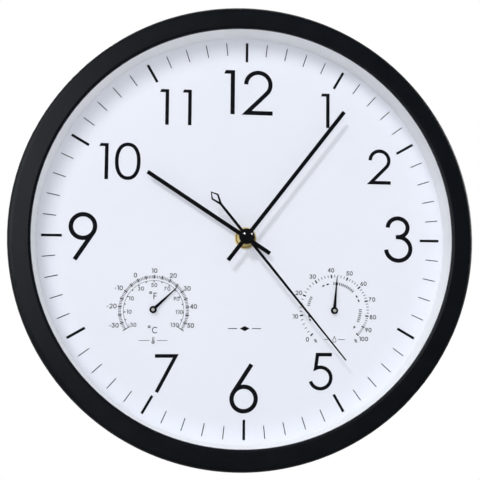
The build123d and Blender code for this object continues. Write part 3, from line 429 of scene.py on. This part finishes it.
def addPiece(name, mesh, finish, body="case"):
    mesh.materials.clear()
    mesh.materials.append(finish)
    piece = bpy.data.objects.new(name, mesh)
    bpy.context.scene.collection.objects.link(piece)
    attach(piece, body)


# Ticks: one Geometry Nodes tree for every ring of strokes
tickInputs = [("Count", "Int"), ("Group", "Int"), ("First Angle", "Float"), ("Step Angle", "Float"),
              ("Inner Radius", "Float"), ("Outer Radius", "Float"), ("Width", "Float"), ("Ink", "Float"),
              ("Centre", "Vector"), ("Finish", "Material")]
unbroken = 1000  # a group longer than any ring


def makeTickTree():
    tree = bpy.data.node_groups.new("tickRing", "GeometryNodeTree")
    for label, kind in tickInputs:
        tree.interface.new_socket(label, in_out="INPUT", socket_type="NodeSocket" + kind)
    tree.interface.new_socket("Geometry", in_out="OUTPUT", socket_type="NodeSocketGeometry")
    given = addNode(tree, "NodeGroupInput").outputs
    index = addNode(tree, "GeometryNodeInputIndex").outputs[0]
    skipped = sums(tree, "FLOOR", sums(tree, "DIVIDE", index, given["Group"]))  # a gap after each group
    step = sums(tree, "ADD", index, skipped)
    angle = sums(tree, "MULTIPLY_ADD", step, given["Step Angle"], given["First Angle"])
    middle = sums(tree, "MULTIPLY", sums(tree, "ADD", given["Inner Radius"], given["Outer Radius"]), 0.5)
    length = sums(tree, "SUBTRACT", given["Outer Radius"], given["Inner Radius"])
    across = sums(tree, "MULTIPLY", sums(tree, "SINE", angle), middle)
    rise = sums(tree, "MULTIPLY", sums(tree, "COSINE", angle), middle)
    spot = addNode(tree, "ShaderNodeCombineXYZ", {"X": across, "Z": rise}).outputs[0]
    place = addNode(tree, "ShaderNodeVectorMath", {0: spot, 1: given["Centre"]}, operation="ADD").outputs[0]
    pile = {"Count": given["Count"], "Offset": (0.0, 0.0, 0.0)}
    line = addNode(tree, "GeometryNodeMeshLine", pile).outputs[0]
    points = addNode(tree, "GeometryNodeSetPosition", {"Geometry": line, "Position": place}).outputs[0]
    sides = {"X": given["Width"], "Y": given["Ink"], "Z": length}
    size = addNode(tree, "ShaderNodeCombineXYZ", sides).outputs[0]
    stroke = addNode(tree, "GeometryNodeMeshCube", {"Size": size}).outputs[0]
    turn = addNode(tree, "ShaderNodeCombineXYZ", {"Y": angle}).outputs[0]
    copies = {"Points": points, "Instance": stroke, "Rotation": turn}
    ring = addNode(tree, "GeometryNodeInstanceOnPoints", copies).outputs[0]
    real = addNode(tree, "GeometryNodeRealizeInstances", {"Geometry": ring}).outputs[0]
    coat = {"Geometry": real, "Material": given["Finish"]}
    painted = addNode(tree, "GeometryNodeSetMaterial", coat).outputs[0]
    addNode(tree, "NodeGroupOutput", {"Geometry": painted})
    return tree


tickTree = makeTickTree()
tickSockets = {item.name: item.identifier for item in tickTree.interface.items_tree if item.in_out == "INPUT"}


def tickMesh(name, centre, count, first, step, inner, outer, width, group=unbroken):
    holder = bpy.data.objects.new(name, bpy.data.meshes.new(name))
    bpy.context.scene.collection.objects.link(holder)
    rule = holder.modifiers.new("ticks", "NODES")
    rule.node_group = tickTree
    depth = dialFront + (ink["sunk"] - ink["height"]) / 2
    values = {"Count": count, "Group": group, "First Angle": radians(first), "Step Angle": radians(step),
              "Inner Radius": inner * mm, "Outer Radius": outer * mm, "Width": width * mm,
              "Ink": ink["height"] + ink["sunk"], "Centre": (centre[0] * mm, depth, centre[1] * mm),
              "Finish": dialInk}
    for label, value in values.items():
        rule[tickSockets[label]] = value
    ready = holder.evaluated_get(bpy.context.evaluated_depsgraph_get())
    mesh = bpy.data.meshes.new_from_object(ready)
    bpy.data.objects.remove(holder)
    mesh.name = name
    return mesh


def joinMeshes(name, meshes):
    verts, faces = [], []
    for mesh in meshes:
        first = len(verts)
        verts += [tuple(v.co) for v in mesh.vertices]
        faces += [[first + i for i in face.vertices] for face in mesh.polygons]
        bpy.data.meshes.remove(mesh)
    joined = bpy.data.meshes.new(name)
    joined.from_pydata(verts, [], faces)
    joined.update()
    return joined


# Minute track: a bold tick at each hour, four fine ones between
track = {"outer": 133.8, "hourInner": 120.5, "hourWidth": 1.77, "minuteInner": 125.2, "minuteWidth": 0.6,
         "hours": 12, "between": 4}
hourStep = 360 / track["hours"]
minuteStep = hourStep / (track["between"] + 1)
hourMesh = tickMesh("hour_ticks", (0, 0), track["hours"], 0, hourStep, track["hourInner"], track["outer"],
                    track["hourWidth"])
addPiece("hour_ticks", hourMesh, dialInk)
minuteMesh = tickMesh("minute_ticks", (0, 0), track["hours"] * track["between"], minuteStep, minuteStep,
                      track["minuteInner"], track["outer"], track["minuteWidth"], track["between"])
addPiece("minute_ticks", minuteMesh, dialInk)
print("minute track: 60 ticks")


# Hour numbers: left edge, bottom edge and height of each sign in millimetres
numbers = {
    "bigPen": 2.9, "smallPen": 2.4, "bigFrom": 30.0,
    "signs": [("1", -15.43, 84.27, 30.4), ("2", -3.43, 84.13, 30.85), ("3", 95.36, -15.3, 32.0),
              ("6", -9.82, -116.44, 33.7), ("9", -116.4, -16.57, 32.8), ("1", -58.4, 75.56, 24.3),
              ("1", -43.23, 75.73, 24.3), ("1", -97.7, 37.73, 24.2), ("0", -87.3, 37.56, 25.1),
              ("1", 51.2, 76.8, 24.0), ("2", 83.26, 38.57, 24.4), ("7", -58.9, -102.7, 26.0),
              ("5", 43.35, -101.67, 25.1)],
}
groups = []
for sign, left, bottom, height in numbers["signs"]:
    pen = numbers["bigPen"] if height > numbers["bigFrom"] else numbers["smallPen"]
    quads = signQuads(sign, height, pen)
    box = extent(quads)
    groups.append(moved(quads, left - box[0], bottom - box[1]))
addPiece("dial_numbers", inkMesh("dial_numbers", groups), dialInk)
print("hour numbers:", len(groups), "signs")


# Gauge scales
def gaugeCentre(name, shift):
    low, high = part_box(name)
    return (low.x + high.x) / 2 / mm + shift[0], (low.z + high.z) / 2 / mm + shift[1]


def ringSpot(centre, radius, angle):
    return centre[0] + radius * sin(radians(angle)), centre[1] + radius * cos(radians(angle))


def arcStroke(centre, radius, start, end, pen, steps=60):
    spots = [ringSpot(centre, radius, start + (end - start) * i / steps) for i in range(steps + 1)]
    return strokeQuads(spots, pen, "open")


def sideRules(x, z, look):
    rules = []
    for side in (-1, 1):
        ends = [(x + side * look["ruleFrom"], z), (x + side * look["ruleTo"], z)]
        rules.append(strokeQuads(ends, look["signPen"], "open"))
    return rules


heat = {"shift": (0.2, -0.65), "lowC": -30, "highC": 50, "boldStep": 5, "perC": 2.8, "lowF": -30,
        "highF": 130, "stepF": 10, "endAngle": 124.4, "bandInner": 21.2, "bandOuter": 23.1, "fineWidth": 0.42,
        "boldWidth": 0.9, "boldMore": (0.2, 0.3), "arcRadius": 19.7, "arcPen": 0.26, "innerTick": 18.7,
        "innerWidth": 0.7, "endInner": 19.5, "endOuter": 24.0, "endWidth": 0.42, "outerNumber": 26.2,
        "outerSize": 3.1, "pen": 0.5, "innerNumber": 16.7, "innerSize": 2.7, "innerPen": 0.42, "gap": 0.42,
        "unitSize": 4.3, "unitPen": 0.56, "unitGap": 1.0, "unitAside": -0.6, "minusAside": -1.2, "unitF": 9.5,
        "unitC": -12.9, "ringLift": 0.9, "signZ": -19.7, "signTall": 4.2, "signPen": 0.32, "ruleFrom": 2.4,
        "ruleTo": 9.4}
tube = {"bulbDrop": 0.28, "bulb": 0.22, "bulbArc": (125, 415), "stemRise": 0.38, "stemHalf": 0.126,
        "stemRound": 0.12, "fill": 0.11, "fillRise": 0.2}  # the small thermometer, in its own heights


def tubeSign(x, z, tall):
    bulbZ, stemZ = z - tall * tube["bulbDrop"], z + tall * tube["stemRise"]
    bulb = arcPoints(x, bulbZ, tall * tube["bulb"], tall * tube["bulb"], *tube["bulbArc"], steps=30)
    stem = arcPoints(x, stemZ, tall * tube["stemHalf"], tall * tube["stemRound"], 0, 180, steps=12)
    dot = ovalPoints(x, bulbZ, tall * tube["fill"], tall * tube["fill"], steps=20)
    column = strokeQuads([(x, bulbZ), (x, z + tall * tube["fillRise"])], heat["signPen"], "open")
    return [strokeQuads(bulb + stem, heat["signPen"], "closed"), [dot] + column]


def thermometerScale():
    centre = gaugeCentre("thermometer_arbor", heat["shift"])
    middleC, middleF = (heat["lowC"] + heat["highC"]) / 2, (heat["lowF"] + heat["highF"]) / 2
    perF = heat["endAngle"] / (heat["highF"] - middleF)
    firstBold = (heat["lowC"] - middleC) * heat["perC"]
    boldCount = (heat["highC"] - heat["lowC"]) // heat["boldStep"] + 1
    innerCount = (heat["highF"] - heat["lowF"]) // heat["stepF"] + 1
    between = heat["boldStep"] - 1  # the fine ticks start and end one group past the bold ones
    moreIn, moreOut = heat["boldMore"]
    meshes = [
        tickMesh("fine", centre, (boldCount + 1) * between, firstBold - between * heat["perC"], heat["perC"],
                 heat["bandInner"], heat["bandOuter"], heat["fineWidth"], between),
        tickMesh("bold", centre, boldCount, firstBold, heat["boldStep"] * heat["perC"],
                 heat["bandInner"] - moreIn, heat["bandOuter"] + moreOut, heat["boldWidth"]),
        tickMesh("inner", centre, innerCount, -heat["endAngle"], heat["stepF"] * perF, heat["innerTick"],
                 heat["arcRadius"], heat["innerWidth"]),
        tickMesh("ends", centre, 2, -heat["endAngle"], 2 * heat["endAngle"], heat["endInner"],
                 heat["endOuter"], heat["endWidth"])]
    groups = [arcStroke(centre, heat["arcRadius"], -heat["endAngle"], heat["endAngle"], heat["arcPen"])]
    for degree in range(heat["lowC"], heat["highC"] + 1, 2 * heat["boldStep"]):
        x, z = ringSpot(centre, heat["outerNumber"], (degree - middleC) * heat["perC"])
        aside = heat["minusAside"] if degree < 0 else 0.0
        groups += signsAt(str(degree), x + aside, z, heat["outerSize"], heat["pen"], heat["gap"])
    for degree in range(heat["lowF"], heat["highF"] + 1, 2 * heat["stepF"]):
        spot = ringSpot(centre, heat["innerNumber"], (degree - middleF) * perF)
        groups += signsAt(str(degree), *spot, heat["innerSize"], heat["innerPen"], heat["gap"])
    for unit, rise in (("F", heat["unitF"]), ("C", heat["unitC"])):
        ring, letter = signsAt("o" + unit, centre[0] + heat["unitAside"], centre[1] + rise, heat["unitSize"],
                               heat["unitPen"], heat["unitGap"])
        groups += [moved(ring, 0.0, heat["ringLift"]), letter]
    signX, signZ = centre[0], centre[1] + heat["signZ"]
    groups += tubeSign(signX, signZ, heat["signTall"]) + sideRules(signX, signZ, heat)
    return joinMeshes("thermometer_scale", meshes + [inkMesh("signs", groups)])


addPiece("thermometer_scale", thermometerScale(), dialInk)
print("thermometer scale drawn")


# The angle of each ten per cent is uneven, as the coil's travel is
damp = {"tens": [-137.0, -99.4, -64.9, -33.6, -5.1, 22.6, 48.2, 74.4, 100.0, 119.8, 136.0],
        "shift": (0.35, 0.25), "between": 4, "boldInner": 21.6, "boldOuter": 23.9, "boldWidth": 0.95,
        "fineInner": 22.2, "fineOuter": 23.8, "fineWidth": 0.44, "number": 27.0, "hundredAside": 1.2,
        "size": 3.0, "pen": 0.5, "gap": 0.42, "zones": [(-80, -62), (-1, 45), (89, 115)],
        "zoneRadius": 17.9, "zoneTall": 1.9, "zonePitch": 4.2, "zoneWidth": 0.6,
        "dashes": [-25, -15, 59, 69, -104, -111.6], "dashLong": 1.7, "dashPen": 0.9, "arrows": [-131, 131],
        "arrowLean": 3.2, "arrowHalf": 0.8, "units": [(-12.8, -20.7), (14.7, -20.7)], "unitSize": 2.5,
        "unitPen": 0.34, "signZ": -19.8, "signTall": 4.4, "signPen": 0.36, "ruleFrom": 2.6, "ruleTo": 7.2}
drop = {"sink": 0.16, "round": 0.26, "arc": (-215, 35), "tip": 0.46}  # the small drop, in its own heights


def dropSign(x, z, tall):
    wide = tall * drop["round"]
    belly = arcPoints(x, z - tall * drop["sink"], wide, wide, *drop["arc"], steps=30)
    return [strokeQuads(belly + [(x, z + tall * drop["tip"])], damp["signPen"], "closed")]


def zoneTicks(name, centre, count, first, step, tall, width):
    inner, outer = damp["zoneRadius"] - tall / 2, damp["zoneRadius"] + tall / 2
    return tickMesh(name, centre, count, first, step, inner, outer, width)


def hygrometerScale():
    centre = gaugeCentre("hygrometer_arbor", damp["shift"])
    meshes, groups = [], []
    for low, high in zip(damp["tens"], damp["tens"][1:]):
        step = (high - low) / (damp["between"] + 1)
        meshes.append(tickMesh("fine", centre, damp["between"], low + step, step, damp["fineInner"],
                               damp["fineOuter"], damp["fineWidth"]))
    for place, angle in enumerate(damp["tens"]):
        percent = 10 * place
        meshes.append(tickMesh("bold", centre, 1, angle, 0, damp["boldInner"], damp["boldOuter"],
                               damp["boldWidth"]))
        x, z = ringSpot(centre, damp["number"], angle)
        aside = damp["hundredAside"] if percent == 100 else 0.0
        groups += signsAt(str(percent), x + aside, z, damp["size"], damp["pen"], damp["gap"])
    for start, end in damp["zones"]:  # hatched zones
        count = round((end - start) / damp["zonePitch"]) + 1
        meshes.append(zoneTicks("zone", centre, count, start, (end - start) / (count - 1), damp["zoneTall"],
                                damp["zoneWidth"]))
    for angle in damp["dashes"]:
        meshes.append(zoneTicks("dash", centre, 1, angle, 0, damp["dashPen"], damp["dashLong"]))
    for angle in damp["arrows"]:
        lean = damp["arrowLean"] if angle > 0 else -damp["arrowLean"]
        groups.append([[ringSpot(centre, damp["zoneRadius"], angle + lean),
                        ringSpot(centre, damp["zoneRadius"] + damp["arrowHalf"], angle - lean),
                        ringSpot(centre, damp["zoneRadius"] - damp["arrowHalf"], angle - lean)]])
    for dx, dz in damp["units"]:
        groups += signsAt("%", centre[0] + dx, centre[1] + dz, damp["unitSize"], damp["unitPen"], damp["gap"])
    signX, signZ = centre[0], centre[1] + damp["signZ"]
    groups += dropSign(signX, signZ, damp["signTall"]) + sideRules(signX, signZ, damp)
    return joinMeshes("hygrometer_scale", meshes + [inkMesh("signs", groups)])


addPiece("hygrometer_scale", hygrometerScale(), dialInk)
print("hygrometer scale drawn")


# A plain ornament under the middle of the dial
ornament = {"z": -60.5, "half": (3.4, 1.7), "ruleFrom": 5.0, "ruleTo": 11.0, "signPen": 0.5}


def dialOrnament():
    z, (wide, tall) = ornament["z"], ornament["half"]
    diamond = [[(-wide, z), (0.0, z - tall), (wide, z), (0.0, z + tall)]]
    return inkMesh("dial_ornament", [diamond] + sideRules(0.0, z, ornament))


addPiece("dial_ornament", dialOrnament(), dialInk)
print("ornament drawn")


# Lamps: where each stands, how far off, how wide, its power and what it is for
pointing = ("hour_hand", "minute_hand", "second_hand", "hand_cap", "thermometer_pointer",
            "hygrometer_pointer")
surround = ("front_bezel", "spacer_ring")
brassStack = ("dial_nut", "dial_washer", "centre_bush")
lamps = {
    "key": {"toward": (-0.26, -1.0, 0.40), "away": 5.0, "size": 2.6, "power": 112.0, "use": "lights",
            "past": pointing},
    "needle": {"toward": (-0.49, -1.0, 0.75), "away": 5.0, "size": 0.6, "power": 78.0, "use": "lights",
               "past": surround},
    "soft": {"toward": (-0.04, -1.0, 0.1), "away": 2.4, "size": 1.4, "power": 10.0, "use": "lights"},
    "spark": {"toward": (-0.42, -1.0, 0.62), "away": 1.6, "size": 0.48, "power": 8.0, "use": "shines",
              "onto": ("hand_cap",)},
    "side": {"toward": (0.735, -0.55, 0.40), "away": 1.2, "size": 0.34, "power": 3.0, "use": "shines",
             "onto": ("hand_cap",)},
    "left": {"toward": (-0.9, -0.75, 0.3), "away": 2.0, "size": 2.0, "power": 38.0, "use": "shines",
             "onto": ("front_bezel",)},
    "right": {"toward": (1.0, 0.45, 0.35), "away": 1.8, "size": 1.2, "power": 20.0, "use": "shines"},
    "top": {"toward": (0.1, 0.6, 1.0), "away": 1.8, "size": 1.0, "power": 9.0, "use": "shines"},
    "wall": {"toward": (0.5, -1.0, 0.25), "away": 1.4, "size": 1.8, "power": 8.0, "use": "lights",
             "onto": ("spacer_ring",)},
    "brass": {"toward": (-0.45, -1.0, 0.1), "away": 2.0, "size": 1.6, "power": 12.0, "use": "shines",
              "onto": brassStack},
    "back": {"toward": (-0.55, 1.0, 0.75), "away": 1.8, "size": 0.7, "power": 16.0,
             "use": "lights and shines"},
}


def nodeCollection(name, pieces):
    made = bpy.data.collections.new(name)
    for piece in pieces:
        made.objects.link(nodes[piece])
    return made


def areaLamp(name, toward, away, size, power, use, onto=(), past=()):
    lamp = bpy.data.lights.new(name, "AREA")
    lamp.shape = "DISK"
    lamp.size = size
    lamp.energy = power
    holder = bpy.data.objects.new(name, lamp)
    toward = Vector(toward).normalized()
    holder.location = toward * away
    holder.rotation_euler = toward.to_track_quat("Z", "Y").to_euler()
    holder.visible_camera = False
    holder.visible_diffuse = "lights" in use
    holder.visible_glossy = "shines" in use  # seen in glossy surfaces
    if onto:  # kept off everything else
        holder.light_linking.receiver_collection = nodeCollection(name + "_onto", onto)
    if past:  # these cast no shadow in its light
        clear = nodeCollection(name + "_past", past)
        holder.light_linking.blocker_collection = clear
        for entry in clear.collection_objects:
            entry.light_linking.link_state = "EXCLUDE"
    bpy.context.scene.collection.objects.link(holder)


for name, lamp in lamps.items():
    areaLamp(name + "_lamp", **lamp)
print("lamps:", len(lamps))


# White room: glossy pieces see it dark in front and white behind
room = {"level": 0.292, "front": 0.03, "backFrom": (0.2, 0.65)}


def lightWorld():
    world = bpy.data.worlds.new("studio")
    world.use_nodes = True
    bpy.context.scene.world = world
    tree = world.node_tree
    tree.nodes.clear()
    rays = addNode(tree, "ShaderNodeLightPath").outputs
    toward = addNode(tree, "ShaderNodeTexCoord").outputs["Generated"]
    depth = addNode(tree, "ShaderNodeSeparateXYZ", {"Vector": toward}).outputs["Y"]
    behind = ramped(tree, depth, *room["backFrom"])
    level = mixValues(tree, rays["Is Glossy Ray"], room["level"], mixValues(tree, behind, room["front"], 1.0))
    level = mixValues(tree, rays["Is Transmission Ray"], level, mixValues(tree, behind, room["level"], 1.0))
    level = mixValues(tree, rays["Is Camera Ray"], level, 1.0)
    glow = addNode(tree, "ShaderNodeBackground", {"Color": plainWhite, "Strength": level})
    addNode(tree, "ShaderNodeOutputWorld", {"Surface": glow.outputs[0]})


lightWorld()


ground = {"z": -0.9, "half": 1.2, "fade": (0.25, 1.1), "colors": [(0.86, 0.86, 0.86), (0.9, 0.9, 0.9)],
          "grain": 6.0, "fixed": {"Roughness": 0.9}}


def paleFloor():
    half, z = ground["half"], ground["z"]
    mesh = bpy.data.meshes.new("floor")
    corners = [(-half, -half, z), (half, -half, z), (half, half, z), (-half, half, z)]
    mesh.from_pydata(corners, [], [(0, 1, 2, 3)])
    finish, tree, skin = startFinish("floor_paper", ground["fixed"])
    grain = grainNoise(tree, objectSpot(tree), ground["grain"])
    tree.links.new(blendColors(tree, grain, ground["colors"]), skin.inputs["Base Color"])
    away = ramped(tree, reachFrom(tree, (1.0, 1.0, 0.0)), *ground["fade"], interpolation_type="SMOOTHSTEP")
    rays = addNode(tree, "ShaderNodeLightPath").outputs
    seen = sums(tree, "MAXIMUM", rays["Is Camera Ray"], rays["Is Transmission Ray"])
    share = sums(tree, "MULTIPLY", away, seen)
    white = addNode(tree, "ShaderNodeEmission", {"Color": plainWhite, "Strength": 1.0}).outputs[0]
    # Its edge melts into the white room
    shown = addNode(tree, "ShaderNodeMixShader", {0: share, 1: skin.outputs["BSDF"], 2: white}).outputs[0]
    tree.links.new(shown, tree.nodes["Material Output"].inputs["Surface"])
    mesh.materials.append(finish)
    floor = bpy.data.objects.new("floor", mesh)
    bpy.context.scene.collection.objects.link(floor)
    floor.visible_glossy = False  # the cap would show its far edge


paleFloor()
print("room and floor")


# Camera at the photograph's place
view = {"place": (-0.02775, -0.40429, -0.03644), "turn": (92.986, -0.463, -4.734), "lens": 42.686,
        "sensor": 36.0, "nearest": 0.01,
        "shift": (-0.0219, 0.0475)}  # the photograph was cut a little off the lens axis
camera = bpy.data.cameras.new("camera")
camera.lens = view["lens"]
camera.sensor_width = view["sensor"]
camera.shift_x, camera.shift_y = view["shift"]
camera.clip_start = view["nearest"]
holder = bpy.data.objects.new("camera", camera)
holder.location = view["place"]
holder.rotation_euler = [radians(turn) for turn in view["turn"]]
bpy.context.scene.collection.objects.link(holder)
bpy.context.scene.camera = holder
bpy.context.scene.view_settings.view_transform = "Standard"
print("camera set")
